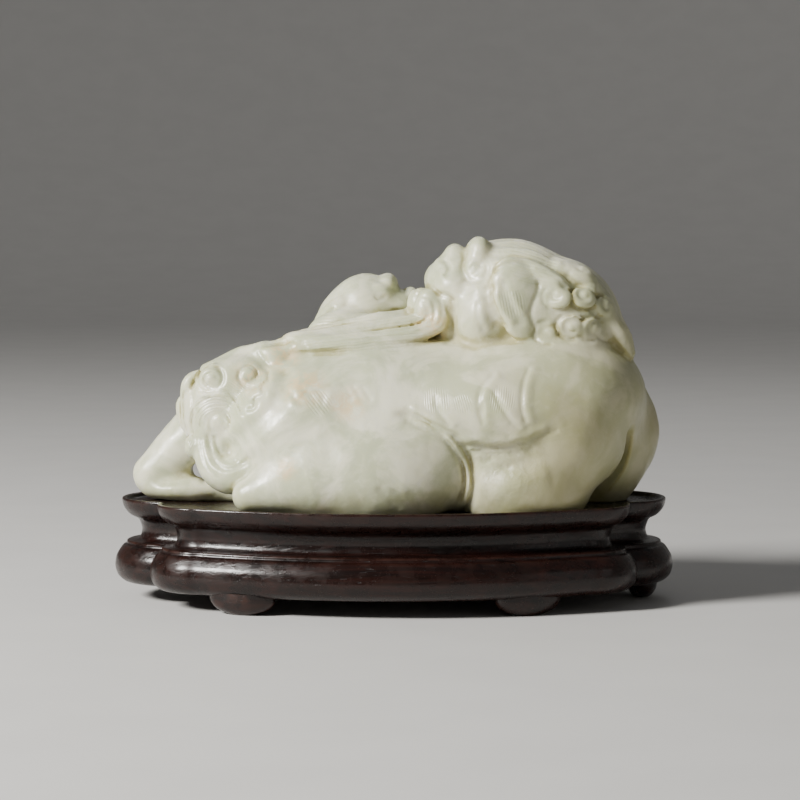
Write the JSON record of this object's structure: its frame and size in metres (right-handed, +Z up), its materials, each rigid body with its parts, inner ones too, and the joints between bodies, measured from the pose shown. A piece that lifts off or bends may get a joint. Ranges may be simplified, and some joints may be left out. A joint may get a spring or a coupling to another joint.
{
  "type": "jade lion carving on a stand",
  "caption": "Recumbent jade lion with curled mane turning its head back to its cub, with a ribbon between them, on a lobed dark hardwood stand with low feet.",
  "frame": {"origin": "middle of the stand's outline, on the plane of its feet", "axes": "+X along the length towards the lion's chest, +Y away from the side seen in the picture, +Z up"},
  "size_m": [0.18, 0.108, 0.1161],
  "materials": {
    "jade": "polished",
    "hardwood": "polished"
  },
  "bodies": {
    "root": {"jade_lion": "jade", "wooden_stand": "hardwood"}
  },
  "joints": []
}
